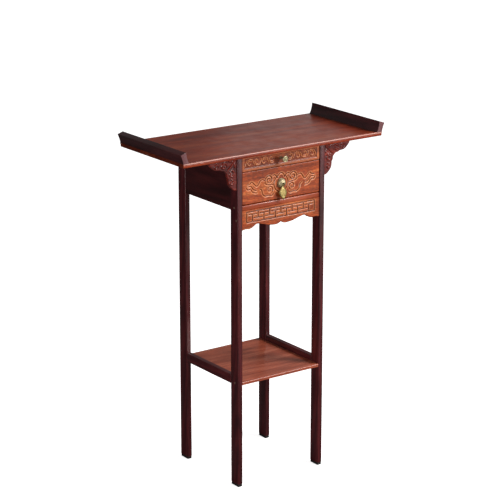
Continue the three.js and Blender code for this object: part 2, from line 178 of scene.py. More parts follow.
def weld(piece, part, operation="UNION"):
    # joins one closed shape to another, or cuts it away
    pick(piece)
    joint = piece.modifiers.new("weld", "BOOLEAN")
    joint.operation = operation
    joint.object = part
    bpy.ops.object.modifier_apply(modifier="weld")
    bpy.data.objects.remove(part)


def mirrorPiece(piece, name):
    copy = piece.copy()
    copy.data = piece.data.copy()
    copy.name = name
    bpy.context.scene.collection.objects.link(copy)
    places = verticesOf(copy)
    places[:, 0] *= -1
    moveVertices(copy, places)
    editAll(copy)
    bpy.ops.mesh.flip_normals()
    leaveEdit()
    return copy


def setTone(piece, values):
    # -1 is a stained cut or painted shade, 0 is plain and 1 is a rubbed edge or painted highlight
    attributes = piece.data.attributes
    tone = attributes.get("carving") or attributes.new("carving", "FLOAT", "POINT")
    tone.data.foreach_set("value", np.clip(values, -1, 1).astype(np.float32))


def toneOf(piece):
    tone = np.zeros(len(piece.data.vertices), np.float32)
    piece.data.attributes["carving"].data.foreach_get("value", tone)
    return tone


def finishPiece(piece, body, slot, material, *nodes):
    piece.data.materials.clear()
    piece.data.materials.append(material)
    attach(piece, body)
    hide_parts(*nodes)


# material helpers
def startMaterial(name):
    material = bpy.data.materials.new(name)
    material.use_nodes = True
    tree = material.node_tree
    tree.nodes.clear()
    shader = tree.nodes.new("ShaderNodeBsdfPrincipled")
    output = tree.nodes.new("ShaderNodeOutputMaterial")
    tree.links.new(shader.outputs["BSDF"], output.inputs["Surface"])
    return material, tree, shader


def addNode(tree, kind, inputs, **settings):
    node = tree.nodes.new(kind)
    for key, value in settings.items():
        setattr(node, key, value)
    for key, value in inputs.items():
        if isinstance(value, bpy.types.NodeSocket):
            tree.links.new(value, node.inputs[key])
        else:
            node.inputs[key].default_value = value
    return node


def objectPlace(tree):
    return addNode(tree, "ShaderNodeTexCoord", {}).outputs["Object"]


def stretched(tree, place, scale):
    return addNode(tree, "ShaderNodeMapping", {"Vector": place, "Scale": scale}).outputs["Vector"]


def noise(tree, place, scale, detail=3, roughness=0.5, distortion=0.0):
    settings = {"Vector": place, "Scale": scale, "Detail": detail, "Roughness": roughness,
                "Distortion": distortion}
    return addNode(tree, "ShaderNodeTexNoise", settings).outputs["Fac"]


def remap(tree, value, fromLow, fromHigh, toLow, toHigh):
    settings = {"Value": value, "From Min": fromLow, "From Max": fromHigh,
                "To Min": toLow, "To Max": toHigh}
    return addNode(tree, "ShaderNodeMapRange", settings).outputs["Result"]


def ramp(tree, value, stops):
    node = addNode(tree, "ShaderNodeValToRGB", {"Fac": value})
    elements = node.color_ramp.elements
    while len(elements) < len(stops):
        elements.new(0.5)
    for element, (place, colour) in zip(elements, stops):
        element.position = place
        element.color = (*colour, 1)
    return node.outputs["Color"]


def mixColour(tree, share, first, second, blend="MIX"):
    node = tree.nodes.new("ShaderNodeMix")
    node.data_type = "RGBA"
    node.blend_type = blend
    # sockets 0, 6 and 7 are the share and the two colours, and output 2 is the mixed colour
    for index, value in ((0, share), (6, first), (7, second)):
        if isinstance(value, bpy.types.NodeSocket):
            tree.links.new(value, node.inputs[index])
        else:
            node.inputs[index].default_value = value if index == 0 else (*value, 1)
    return node.outputs[2]


def combine(tree, operation, first, second):
    return addNode(tree, "ShaderNodeMath", {0: first, 1: second}, operation=operation).outputs["Value"]


def bump(tree, shader, height, strength, distance):
    settings = {"Height": height, "Strength": strength, "Distance": distance}
    tree.links.new(addNode(tree, "ShaderNodeBump", settings).outputs["Normal"], shader.inputs["Normal"])


def carvedValue(tree):
    return addNode(tree, "ShaderNodeAttribute", {}, attribute_name="carving").outputs["Fac"]


def fromHex(code):
    parts = [int(code[i:i + 2], 16) / 255 for i in (0, 2, 4)]
    return tuple(p / 12.92 if p <= 0.04045 else ((p + 0.055) / 1.055) ** 2.4 for p in parts)


# woods: colours from dark to light and on rubbed edges or painted highlights, the figure's size, how much
# of its bands,
#  flecks and pores show, and how the lacquer shines
woods = {
    "topWood": {
        "dark": "742410", "middle": "93381e", "light": "a94e2c", "worn": "dcaa9e",
        "figure": 6.0, "bands": 0.1, "flecks": 0.1, "pores": 0.2,
        "rough": 0.34, "coat": 0.15, "shine": 0.35,
    },
    "endWood": {
        "dark": "2d1013", "middle": "40191c", "light": "522426", "worn": "805558",
        "figure": 9.0, "bands": 0.2, "flecks": 0.1, "pores": 0.25,
        "rough": 0.36, "coat": 0.2, "shine": 0.45,
    },
    # the shelf's wood is the top's wood painted lighter, standing in for light that the case above keeps
    # off it
    "shelfWood": {
        "dark": "8f422c", "middle": "b35a40", "light": "c97358", "worn": "c97358",
        "figure": 8.0, "bands": 0.15, "flecks": 0.1, "pores": 0.3,
        "rough": 0.34, "coat": 0.2, "shine": 0.45,
    },
    "frameWood": {
        "dark": "3a0f14", "middle": "4c161a", "light": "5e2023", "worn": "5e2023",
        "figure": 14.0, "bands": 0.2, "flecks": 0.1, "pores": 0.25,
        "rough": 0.36, "coat": 0.2, "shine": 0.45,
    },
    "panelWood": {
        "dark": "2c0c0e", "middle": "3c1214", "light": "491a1a", "worn": "491a1a",
        "figure": 9.0, "bands": 0.2, "flecks": 0.1, "pores": 0.25,
        "rough": 0.45, "coat": 0.1, "shine": 0.3,
    },
    "frontWood": {
        "dark": "7f3313", "middle": "a3461c", "light": "c9703a", "worn": "dd9264",
        "figure": 12.0, "bands": 0.06, "flecks": 0.3, "pores": 0.55,
        "rough": 0.36, "coat": 0.2, "shine": 0.45,
    },
    "railWood": {
        "dark": "7d3018", "middle": "984023", "light": "ad5434", "worn": "ad5434",
        "figure": 12.0, "bands": 0.12, "flecks": 0.1, "pores": 0.35,
        "rough": 0.33, "coat": 0.25, "shine": 0.45,
    },
    "bracketWood": {
        "dark": "4c110c", "middle": "6a1b13", "light": "8a3022", "worn": "8a3022",
        "figure": 16.0, "bands": 0.2, "flecks": 0.1, "pores": 0.2,
        "rough": 0.3, "coat": 0.35, "shine": 0.5,
    },
    "insideWood": {
        "dark": "7a5433", "middle": "9c7048", "light": "b98d61", "worn": "b98d61",
        "figure": 10.0, "bands": 0.28, "flecks": 0.1, "pores": 0.4,
        "rough": 0.7, "coat": 0.0, "shine": 0.3,
    },
}

# what all the woods share: stretch along the board, size of each layer, and how the carving tone is put
# on:
#  staining and painted shade in cuts, wear and painted highlight on edges
grain = {
    "figureStretch": 0.13,
    "fleckStretch": 0.35,
    "poreStretch": 0.03,
    "cloudSize": 2.2,
    "ringSize": 1.7,
    "streaks": 420,
    "pores": 1500,
    "flecks": 330,
    "mottling": 5.5,
    "smears": 23,
    "cutShade": 0.42,
    "wearAndHighlightShare": 0.75,
    "poreRelief": 0.12,
    "coatRough": 0.18,
}


def makeWood(name, look, grainAxis):
    material, tree, shader = startMaterial(f"{name}Along{'XYZ'[grainAxis]}")
    place = objectPlace(tree)

    def alongGrain(stretch):
        scale = [1.0] * 3
        scale[grainAxis] = stretch
        return stretched(tree, place, scale)

    # soft clouds crossed by faint bands make the figure
    alongFigure = alongGrain(grain["figureStretch"])
    clouds = noise(tree, alongFigure, look["figure"] * grain["cloudSize"], 4, 0.55, 1.4)
    waves = {"Vector": alongFigure, "Scale": look["figure"] * grain["ringSize"],
             "Distortion": 9.0, "Detail": 3.0}
    rings = addNode(tree, "ShaderNodeTexWave", waves, bands_direction="DIAGONAL").outputs["Fac"]
    figure = combine(tree, "ADD", combine(tree, "MULTIPLY", clouds, 1 - look["bands"]),
                     combine(tree, "MULTIPLY", rings, look["bands"]))
    colour = ramp(tree, figure, [(0.3, fromHex(look["dark"])), (0.5, fromHex(look["middle"])),
                                 (0.72, fromHex(look["light"]))])

    # streaks, mottling, flecks and pores shade it
    alongPores = alongGrain(grain["poreStretch"])
    streaks = remap(tree, noise(tree, alongPores, grain["streaks"], 3, 0.6), 0.35, 0.7, 0.72, 1.12)
    pores = remap(tree, noise(tree, alongPores, grain["pores"], 2), 0.6, 0.72, 0.0, look["pores"])
    mottling = remap(tree, noise(tree, place, grain["mottling"], 2), 0.3, 0.7, 0.86, 1.12)
    flecks = noise(tree, alongGrain(grain["fleckStretch"]), grain["flecks"], 2)
    flecks = remap(tree, flecks, 0.35, 0.65, 1 - look["flecks"], 1 + look["flecks"])
    shade = combine(tree, "MULTIPLY", streaks, mottling)
    shade = combine(tree, "MULTIPLY", shade, flecks)
    shade = combine(tree, "MULTIPLY", shade, combine(tree, "SUBTRACT", 1.0, pores))

    # staining and painted shade darken the cuts and other shaded places, and wear and painted highlight
    # make the high edges paler
    carving = carvedValue(tree)
    shade = combine(tree, "MULTIPLY", shade, remap(tree, carving, -1.0, 0.0, grain["cutShade"], 1.0))
    grey = addNode(tree, "ShaderNodeCombineColor", {"Red": shade, "Green": shade, "Blue": shade})
    colour = mixColour(tree, 1.0, colour, grey.outputs["Color"], "MULTIPLY")
    worn = remap(tree, carving, 0.0, 1.0, 0.0, grain["wearAndHighlightShare"])
    colour = mixColour(tree, worn, colour, fromHex(look["worn"]))
    tree.links.new(colour, shader.inputs["Base Color"])

    smears = noise(tree, place, grain["smears"], 3, 0.6)
    rough = remap(tree, smears, 0.3, 0.7, look["rough"] - 0.06, look["rough"] + 0.08)
    tree.links.new(rough, shader.inputs["Roughness"])
    relief = combine(tree, "SUBTRACT", combine(tree, "MULTIPLY", streaks, 0.35), pores)
    bump(tree, shader, relief, grain["poreRelief"], 0.0002)
    shader.inputs["Specular IOR Level"].default_value = look["shine"]
    shader.inputs["Coat Weight"].default_value = look["coat"]
    shader.inputs["Coat Roughness"].default_value = grain["coatRough"]
    return material


madeWoods = {}


def wood(name, grainAxis):
    key = (name, grainAxis)
    if key not in madeWoods:
        madeWoods[key] = makeWood(name, woods[name], grainAxis)
    return madeWoods[key]


# brass: tarnish in three tones, and a dark one in the cuts, which also serves as painted shade in the
# boss's slot, on the knob's neck and round the drop's knuckle
brassLook = {"cuts": "3c3018", "cutShare": 0.85, "dull": 0.52, "polished": 0.38, "metallic": 0.68}


def makeBrass(name, dark, middle, light):
    material, tree, shader = startMaterial(name)
    place = objectPlace(tree)
    tarnish = noise(tree, place, 260, 4, 0.65, 0.4)
    colour = ramp(tree, tarnish, [(0.3, fromHex(dark)), (0.5, fromHex(middle)), (0.75, fromHex(light))])
    inCuts = remap(tree, carvedValue(tree), -1.0, 0.0, brassLook["cutShare"], 0.0)
    colour = mixColour(tree, inCuts, colour, fromHex(brassLook["cuts"]))
    tree.links.new(colour, shader.inputs["Base Color"])
    rough = remap(tree, tarnish, 0.3, 0.7, brassLook["dull"], brassLook["polished"])
    tree.links.new(rough, shader.inputs["Roughness"])
    bump(tree, shader, noise(tree, place, 700, 2), 0.2, 0.0002)
    shader.inputs["Metallic"].default_value = brassLook["metallic"]
    return material


def makeSmallFinish(name, dark, light, scale, roughness):
    # rubber feet and screw caps
    material, tree, shader = startMaterial(name)
    speckle = noise(tree, objectPlace(tree), scale, 4, 0.6)
    colour = ramp(tree, speckle, [(0.35, fromHex(dark)), (0.75, fromHex(light))])
    tree.links.new(colour, shader.inputs["Base Color"])
    rough = remap(tree, speckle, 0.3, 0.7, roughness, roughness + 0.15)
    tree.links.new(rough, shader.inputs["Roughness"])
    bump(tree, shader, speckle, 0.3, 0.0003)
    return material


paleBrass = makeBrass("paleBrass", "7b7050", "b8ac86", "e0d8b8")
agedBrass = makeBrass("agedBrass", "665830", "8f7e4a", "b5a56e")
rubber = makeSmallFinish("footRubber", "100c0b", "2a2320", 300, 0.7)
capWood = makeSmallFinish("capWood", "4c3428", "8a6f60", 500, 0.35)
print("materials ready")


# top board: a moulded edge and then a thin groove round the surface, as how far in and how far up, in mm
topShape = {
    "levels": [(3.2, 0.0), (2.4, 0.35), (1.9, 1.0), (1.5, 2.4), (1.25, 4.0), (1.1, 5.6), (1.0, 7.0),
               (1.15, 7.6), (1.6, 8.0), (1.9, 8.3), (1.9, 8.8), (1.3, 9.1), (0.5, 9.4), (0.1, 10.0),
               (0.0, 10.8), (0.0, 11.8), (0.15, 12.5), (0.5, 13.1), (1.1, 13.42), (2.0, 13.5),
               (4.6, 13.5), (5.3, 12.7), (6.0, 13.5)],
    "grooveFloor": 12.7,
    "hollow": 8.55,
    "endMargin": 2.5,
    "rebate": 1.0,
    "rebateFoot": 352.7,
    "paintedShadeTone": -0.9,
}


def makeTop(settings):
    low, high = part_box("top_board")
    size = (high[0] - low[0], high[1] - low[1])
    clearSelection()
    bpy.ops.mesh.primitive_plane_add(size=1, location=(0, 0, low[2]))
    bpy.context.object.scale = (*size, 1)
    top = settle(bpy.context.object, "topBoard")
    editAll(top)
    inset, rise = 0.0, 0.0
    for nextInset, nextRise in settings["levels"]:
        if nextRise > 0:
            step = (0, 0, (nextRise - rise) * mm)
            bpy.ops.mesh.extrude_region_move(TRANSFORM_OT_translate={"value": step})
        factors = [(side - 2 * nextInset * mm) / (side - 2 * inset * mm) for side in size]
        centre = (0, 0, low[2] + nextRise * mm)
        bpy.ops.transform.resize(value=(*factors, 1), center_override=centre)
        inset, rise = nextInset, nextRise
    bpy.ops.mesh.select_all(action="SELECT")
    bpy.ops.mesh.normals_make_consistent(inside=False)
    leaveEdit()
    # a shallow rebate at each end takes the foot of the upturned end; its tool reaches past the board
    near, far, reach = settings["rebateFoot"] * mm, 0.4, 0.3
    rebate = settings["rebate"] * mm
    for x in ((-far, -near), (near, far)):
        tool = addBlock("rebateTool", (x[0], -reach, high[2] - rebate), (x[1], reach, high[2] + rebate))
        weld(top, tool, "DIFFERENCE")
    # a cut close to each end keeps the painted shade of the end faces off the long edges
    endCut = size[0] / 2 - settings["endMargin"] * mm
    for side in (-1, 1):
        editAll(top)
        bpy.ops.mesh.bisect(plane_co=(side * endCut, 0, 0), plane_no=(1, 0, 0))
        leaveEdit()
    places = verticesOf(top)
    # the end faces, the groove round the surface and the hollow under the bead get painted shade, and the
    # bead gets a painted highlight
    atEnd = np.abs(places[:, 0]) > endCut + 0.1 * mm
    level = (places[:, 2] - low[2]) / mm
    grooveFloor, hollow = settings["grooveFloor"], settings["hollow"]
    inGrooves = (np.abs(level - grooveFloor) < 0.05) | (np.abs(level - hollow) < 0.3)
    onBead = (level > hollow + 0.5) & (level < grooveFloor - 0.1)
    setTone(top, np.where(atEnd | inGrooves, settings["paintedShadeTone"], onBead))
    smooth(top, 32)
    return top


finishPiece(makeTop(topShape), "case", "top_wood", wood("topWood", 0), "top_board")


# upturned ends: a strip that leans out and flares, its faces drawn as curves of how far in from the top's
# end and how far up from its surface, in mm
endShape = {
    "inner": [(22.0, -1.0), (14.0, 9.0), (11.0, 34.0)],
    "outer": [(1.0, -1.0), (-2.0, 14.0), (-9.0, 27.5)],
    "heightCuts": 22,
    "edge": 1.0,
    "frontTone": 0.8,
}


def alongCurve(points, t):
    (a, b), (c, d), (e, f) = points
    u = 1 - t
    return u * u * a + 2 * u * t * c + t * t * e, u * u * b + 2 * u * t * d + t * t * f


def makeEnd(settings):
    topLow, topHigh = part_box("top_board")
    end = addBlock("rightUpturnedEnd", (-0.5, topLow[1], -0.5), (0.5, topHigh[1], 0.5))
    heights = verticesOf(end)[:, 2]
    editSelected(end, "EDGE", lambda edge: np.ptp(heights[list(edge.vertices)]) > 0.5)
    bpy.ops.mesh.subdivide(number_cuts=settings["heightCuts"])
    leaveEdit()
    places = verticesOf(end)
    out, up = places[:, 0] + 0.5, places[:, 2] + 0.5
    innerX, innerZ = alongCurve(settings["inner"], up)
    outerX, outerZ = alongCurve(settings["outer"], up)
    places[:, 0] = topHigh[0] - ((1 - out) * innerX + out * outerX) * mm
    places[:, 2] = topHigh[2] + ((1 - out) * innerZ + out * outerZ) * mm
    moveVertices(end, places)
    soften(end, settings["edge"], 3, 40)
    # the front face is painted paler as a highlight
    onFront = verticesOf(end)[:, 1] < topLow[1] + 0.2 * mm
    setTone(end, settings["frontTone"] * onFront)
    return end


rightEnd = makeEnd(endShape)
leftEnd = mirrorPiece(rightEnd, "leftUpturnedEnd")
finishPiece(rightEnd, "case", "end_wood", wood("endWood", 1), "right_upturned_end")
finishPiece(leftEnd, "case", "end_wood", wood("endWood", 1), "left_upturned_end")
print("top made")


# boards with rounded edges: name, body, slot, wood, grain axis, rounding in mm
leftRight = ("left", "right")
boards = [
    *[(f"{row}_{side}_leg", "case", "frame_wood", "frameWood", 2, 2.2) for row in ("front", "rear")
      for side in leftRight],
    *[(f"{side}_shelf_rail", "case", "frame_wood", "frameWood", 1, 1.6) for side in leftRight],
    *[(f"{side}_side_panel", "case", "panel_wood", "panelWood", 1, 0.6) for side in leftRight],
    *[(f"{side}_drawer_runner", "case", "inside_wood", "insideWood", 1, 0.8) for side in leftRight],
    ("case_floor", "case", "inside_wood", "insideWood", 0, 0.6),
    ("front_rail", "case", "front_wood", "railWood", 0, 3.0),
]
for drawer in ("upper_drawer", "lower_drawer"):
    boards += [(f"{drawer}_{side}_side", drawer, "inside_wood", "insideWood", 1, 1.0)
               for side in leftRight]
    boards += [(f"{drawer}_back", drawer, "inside_wood", "insideWood", 0, 1.0),
               (f"{drawer}_bottom", drawer, "inside_wood", "insideWood", 0, 0.5)]


def plainName(node):
    first, *others = node.split("_")
    return first + "".join(word.capitalize() for word in others)


def blockOfNode(node):
    return addBlock(plainName(node), *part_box(node))


for node, bodyName, slotName, woodName, grainAxis, edge in boards:
    board = blockOfNode(node)
    soften(board, edge, 4)
    finishPiece(board, bodyName, slotName, wood(woodName, grainAxis), node)
for node in [f"{row}_{side}_foot" for row in ("front", "rear") for side in leftRight]:
    foot = blockOfNode(node)
    soften(foot, 1.2)
    finishPiece(foot, "case", "foot_pad", rubber, node)
print("boards made")


# back panel: a raised field inside a sloped margin
backShape = {"margin": 26, "slope": 9, "fieldRise": 2.2, "edge": 0.6}


def makeBack(settings):
    low, high = (np.array(corner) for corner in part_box("back_panel"))
    panel = addBlock("backPanel", low, high - np.array([0, settings["fieldRise"] * mm, 0]))
    editSelected(panel, "FACE", lambda face: face.normal.y > 0.9)
    bpy.ops.mesh.inset(thickness=settings["margin"] * mm)
    bpy.ops.mesh.inset(thickness=settings["slope"] * mm, depth=settings["fieldRise"] * mm)
    leaveEdit()
    soften(panel, settings["edge"], 2, 8)
    return panel


finishPiece(makeBack(backShape), "case", "panel_wood", wood("panelWood", 0), "back_panel")


# lower shelf: a bead along the front edge, above a small step
shelfShape = {"bead": 2.6, "beadHeight": 6.4, "step": 1.0}


def makeShelf(settings):
    low, high = (np.array(corner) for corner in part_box("lower_shelf"))
    beadBottom = high[2] - settings["beadHeight"] * mm
    lower = addBlock("shelfLower", (low[0], low[1] + settings["step"] * mm, low[2]),
                     (high[0], high[1], beadBottom + mm))
    shelf = addBlock("lowerShelf", (low[0], low[1], beadBottom), high)
    places = verticesOf(shelf)
    front = places[:, 1] < low[1] + mm
    # the two long edges of the front face become the bead
    editSelected(shelf, "EDGE", lambda edge: front[list(edge.vertices)].all()
                 and np.ptp(places[list(edge.vertices), 0]) > 0.1)
    bpy.ops.mesh.bevel(offset=settings["bead"] * mm, segments=6)
    leaveEdit()
    weld(shelf, lower)
    smooth(shelf, 32)
    return shelf


finishPiece(makeShelf(shelfShape), "case", "shelf_wood", wood("shelfWood", 0), "lower_shelf")
print("shelf made")


# carving: lines drawn in millimetres on the front, worked into a fine grid
def smoothLine(points, steps=7):
    # a curve through all the points
    knots = np.array([points[0], *points, points[-1]], float)
    t = np.linspace(0, 1, steps, endpoint=False)[:, None]
    pieces = [0.5 * (2 * b + (c - a) * t + (2 * a - 5 * b + 4 * c - d) * t ** 2
                     + (3 * b - a - 3 * c + d) * t ** 3)
              for a, b, c, d in zip(knots, knots[1:], knots[2:], knots[3:])]
    return np.vstack([*pieces, knots[-1:]])


def volute(centre, radii, angles, steps=40):
    # a spiral, or an arc where both radii are equal
    t = np.linspace(0, 1, steps + 1)
    radius = radii[0] + (radii[1] - radii[0]) * t
    angle = np.radians(angles[0] + (angles[1] - angles[0]) * t)
    return np.stack([centre[0] + radius * np.cos(angle), centre[1] + radius * np.sin(angle)], 1)


def bothSides(lines):
    return [side for line in lines for side in (line, line * np.array([-1, 1]))]


def closeness(x, z, lines, halfWidth, taper=0.4):
    # 1 on a line, falling to 0 at its half width and below 0 beyond it; lines thin out at their ends
    unreached = -4.0
    best = np.full(x.shape, unreached)
    reach = halfWidth * (1 - unreached)
    for line in lines:
        near = np.flatnonzero((x > line[:, 0].min() - reach) & (x < line[:, 0].max() + reach)
                              & (z > line[:, 1].min() - reach) & (z < line[:, 1].max() + reach))
        px, pz = x[near], z[near]
        share = np.minimum(np.arange(len(line)), np.arange(len(line))[::-1]) / max(len(line) - 1, 1)
        full = 1 - (1 - taper) * np.clip(1 - share * 6, 0, 1) ** 2
        value = np.full(px.shape, unreached)
        for (a, b), fa, fb in zip(zip(line, line[1:]), full, full[1:]):
            run = b - a
            t = np.clip(((px - a[0]) * run[0] + (pz - a[1]) * run[1]) / max(run @ run, 1e-9), 0, 1)
            gap = np.hypot(px - a[0] - t * run[0], pz - a[1] - t * run[1])
            value = np.maximum(value, 1 - gap / (halfWidth * (fa + (fb - fa) * t)))
        best[near] = np.maximum(best[near], value)
    return best


def softStep(value):
    share = np.clip(value, 0, 1)
    return share * share * (3 - 2 * share)


def grooveShape(near, lip=0.15, bottom=0.18):
    # a V with a rounded lip and a rounded bottom
    share = np.clip(near, 0, 1)
    share = (np.hypot(share, lip) - lip) / (math.hypot(1, lip) - lip)
    return 1 - (np.hypot(1 - share, bottom) - bottom) / (math.hypot(1, bottom) - bottom)


def grooveTone(near, settings):
    # rubbed and painted as highlight beside a cut line, stained and painted as shade down in it
    lip = settings["lip"] * softStep(1 + near * 1.3)
    return lip - settings["stain"] * softStep((near - settings["stainAndShadeFrom"]) / settings["stainAndShadeRun"])


def ridgeShape(near):
    # a raised line, a little wider than its half width
    return softStep(near * 1.1 + 0.1)


def carvedBoard(name, size, cell, place, relief, back):
    # a fine grid facing front, shaped by place and relief, then drawn back to a flat rear face
    clearSelection()
    columns, rows = (max(2, round(length / cell)) for length in size)
    bpy.ops.mesh.primitive_grid_add(x_subdivisions=columns, y_subdivisions=rows, size=1)
    board = settle(bpy.context.object, name)
    grid = verticesOf(board)
    x, z = place(grid[:, 0] + 0.5, grid[:, 1] + 0.5)
    y, carving = relief(x, z)
    moveVertices(board, np.stack([x, y, z], 1) * mm)
    setTone(board, carving)
    editAll(board)
    bpy.ops.mesh.remove_doubles(threshold=0.02 * mm)
    bpy.ops.mesh.select_mode(type="EDGE")
    bpy.ops.mesh.region_to_loop()
    bpy.ops.mesh.extrude_edges_move(TRANSFORM_OT_translate={"value": (0, 0, 0)})
    bpy.ops.transform.resize(value=(1, 0, 1), center_override=(0, back, 0))
    bpy.ops.mesh.edge_face_add()
    bpy.ops.mesh.select_all(action="SELECT")
    bpy.ops.mesh.normals_make_consistent(inside=False)
    leaveEdit()
    smooth(board, 50)
    return board


def edgeDrop(gap, radius):
    # how far a rounded arris falls back at this distance from the edge
    inside = np.clip(radius - gap, 0, radius)
    return radius - np.sqrt(np.maximum(radius ** 2 - inside ** 2, 0))


def rectangleOf(node):
    low, high = (np.array(corner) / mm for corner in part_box(node))
    return low, high


def frontSize(low, high):
    return high[0] - low[0], high[2] - low[2]


def spreadEvenly(low, high):
    return lambda s, t: (low[0] + s * (high[0] - low[0]), low[2] + t * (high[2] - low[2]))


# lower drawer: a cloud on each side of the pull
cloudCarving = {"halfWidth": 3.2, "depth": 3.2, "cell": 0.62, "edge": 1.0,
                "lip": 1.0, "stain": 2.0, "stainAndShadeFrom": 0.3, "stainAndShadeRun": 0.5}


def cloudLines():
    half = [
        volute((45, 979.5), (15.5, 4), (-35, 490)),
        volute((42, 949), (12.5, 3.5), (-115, -520)),
        smoothLine([(33, 989), (26, 992.5), (18, 988), (14.5, 981)]),
        smoothLine([(29, 963), (40, 963.5), (52, 965.5), (62, 971)]),
        smoothLine([(61, 979), (70, 983.5), (78.5, 981), (85, 971), (92, 966.5), (99.5, 972.5),
                    (107, 980), (112.5, 981), (118, 976), (130, 974)]),
        smoothLine([(125, 968), (113, 968.5), (104, 958), (91, 952.5)]),
        smoothLine([(132, 968), (125, 960), (114, 959), (105, 949), (89, 944.5)]),
        smoothLine([(82, 957), (73, 951.5), (69, 938), (59, 930.5), (46, 931.5), (34, 929.5),
                    (27.5, 936)]),
        volute((0, 964), (26.5, 26.5), (-88, 50)),
    ]
    return [volute((0, 983), (12.5, 12.5), (-12, 192)), *bothSides(half)]


def makeLowerFront(settings):
    low, high = rectangleOf("lower_drawer_front")
    lines = cloudLines()

    def relief(x, z):
        near = closeness(x, z, lines, settings["halfWidth"])
        gap = np.minimum.reduce([x - low[0], high[0] - x, z - low[2], high[2] - z])
        y = low[1] + grooveShape(near) * settings["depth"] + edgeDrop(gap, settings["edge"])
        return y, grooveTone(near, settings)

    return carvedBoard("lowerDrawerFront", frontSize(low, high), settings["cell"], spreadEvenly(low, high),
                       relief, high[1] * mm)


lowerFront = makeLowerFront(cloudCarving)
finishPiece(lowerFront, "lower_drawer", "front_wood", wood("frontWood", 0), "lower_drawer_front")
print("lower drawer carved")


# upper drawer: a flat border round a sunk field with a raised vine
vineCarving = {"halfWidth": 2.2, "height": 2.3, "cell": 0.58, "edge": 1.0,
               "border": 8.5, "borderEnds": 7.5, "fieldDepth": 2.4, "slope": 1.8,
               "middle": 1043, "pitch": 27, "curls": 4, "first": 37, "stagger": 3}


def vineLines(settings):
    half = []
    for k in range(settings["curls"]):
        turn = 1 if k % 2 == 0 else -1
        cx = settings["first"] + k * settings["pitch"]
        cz = settings["middle"] + turn * settings["stagger"]
        stem = [(8, -11), (13, -3), (16, 7)]
        leaf = [(-9, -12), (-1, -13), (5, -10)]
        half.append(volute((cx, cz), (9.5, 2.8), (turn * -150, turn * 200)))
        half += [smoothLine([(cx + u, cz + turn * v) for u, v in stroke]) for stroke in (stem, leaf)]
    return bothSides(half)


def makeUpperFront(settings):
    low, high = rectangleOf("upper_drawer_front")
    lines = vineLines(settings)

    def relief(x, z):
        across = np.minimum(x - low[0], high[0] - x)
        up = np.minimum(z - low[2], high[2] - z)
        pastBorder = np.minimum(across - settings["border"], up - settings["borderEnds"])
        inField = softStep(pastBorder / settings["slope"])
        near = closeness(x, z, lines, settings["halfWidth"])
        ridge = ridgeShape(near) * settings["height"] * inField
        drop = edgeDrop(np.minimum(across, up), settings["edge"])
        y = low[1] + settings["fieldDepth"] * inField - ridge + drop
        # vine and border rubbed and painted paler as highlight, the sunk field stained and painted darker
        # as shade, and the most painted shade in the slope between them
        onSlope = 4 * inField * (1 - inField)
        tone = (1.5 * softStep(near * 1.6) - 0.5) * inField - 0.9 * onSlope + 0.3 * (1 - inField)
        return y, tone

    return carvedBoard("upperDrawerFront", frontSize(low, high), settings["cell"], spreadEvenly(low, high),
                       relief, high[1] * mm)


upperFront = makeUpperFront(vineCarving)
finishPiece(upperFront, "upper_drawer", "front_wood", wood("frontWood", 0), "upper_drawer_front")
print("upper drawer carved")


# apron: a fret, and a lower edge that rises in scallops, as how far out from the middle and how far up
fretCarving = {"halfWidth": 2.8, "depth": 3.0, "cell": 0.62, "edge": 1.2,
               "pitch": 42.9, "armShare": 0.36, "reach": 129,
               "bottom": 857.7, "lowBar": 869.2, "highBar": 880.8, "top": 890.0,
               "middleRise": 7.5,
               "scallop": [(5, 3.5), (13, 0.4), (24, 0), (45, 2.5), (70, 9.5), (87, 13), (97, 10.5),
                           (108, 3.5), (120, 0)],
               "shoulder": [(126, 1.6), (134, 2), (141, 0.4)],
               "lip": 0.6, "stain": 1.9, "stainAndShadeFrom": 0.2, "stainAndShadeRun": 0.4, "lowerEdgeShade": 0.6}


def fretLines(settings):
    reach, bottom, top = settings["reach"], settings["bottom"], settings["top"]
    lines = [[(-reach, top), (reach, top)], [(-reach, bottom), (reach, bottom)],
             [(-reach, bottom), (-reach, top)], [(reach, bottom), (reach, top)]]
    arm = settings["pitch"] * settings["armShare"]
    for k in range(-5, 6):
        x = k * settings["pitch"] / 2
        level, rim = (settings["lowBar"], top) if k % 2 == 0 else (settings["highBar"], bottom)
        lines += [[(x - arm, level), (x + arm, level)], [(x, level), (x, rim)]]
    return [np.array(line, float) for line in lines]


def makeApron(settings):
    low, high = rectangleOf("apron")
    half = np.vstack([[(0, settings["middleRise"])], smoothLine(settings["scallop"]),
                      settings["shoulder"], [(high[0], 0)]])
    lines = fretLines(settings)

    def lowerEdge(x):
        return low[2] + np.interp(np.abs(x), half[:, 0], half[:, 1])

    def place(s, t):
        x = low[0] + s * (high[0] - low[0])
        bottom = lowerEdge(x)
        return x, bottom + t * (high[2] - bottom)

    def relief(x, z):
        near = closeness(x, z, lines, settings["halfWidth"], 1)
        gap = z - lowerEdge(x)
        y = low[1] + grooveShape(near) * settings["depth"] + edgeDrop(gap, settings["edge"])
        # the scalloped lower edge is painted darker as shade
        return y, grooveTone(near, settings) - settings["lowerEdgeShade"] * softStep(1 - gap / 2.2)

    return carvedBoard("apron", frontSize(low, high), settings["cell"], place, relief, high[1] * mm)


finishPiece(makeApron(fretCarving), "case", "front_wood", wood("frontWood", 0), "apron")
print("apron carved")


# brackets: u runs out from the leg and v down from the top, the same on both sides of the diagonal
bracketCarving = {"halfWidth": 3.0, "height": 2.8, "cell": 0.66, "edge": 2.0, "rim": 2.2}
bracketEdge = [(102, 0), (101.6, 7), (100, 11.5), (97, 15.5), (93, 20), (85.5, 26.4), (78, 30.2),
               (70, 31.4), (63, 31.9), (60, 33.2), (57, 35.3), (52, 36), (46, 37.6), (41.5, 41.5)]


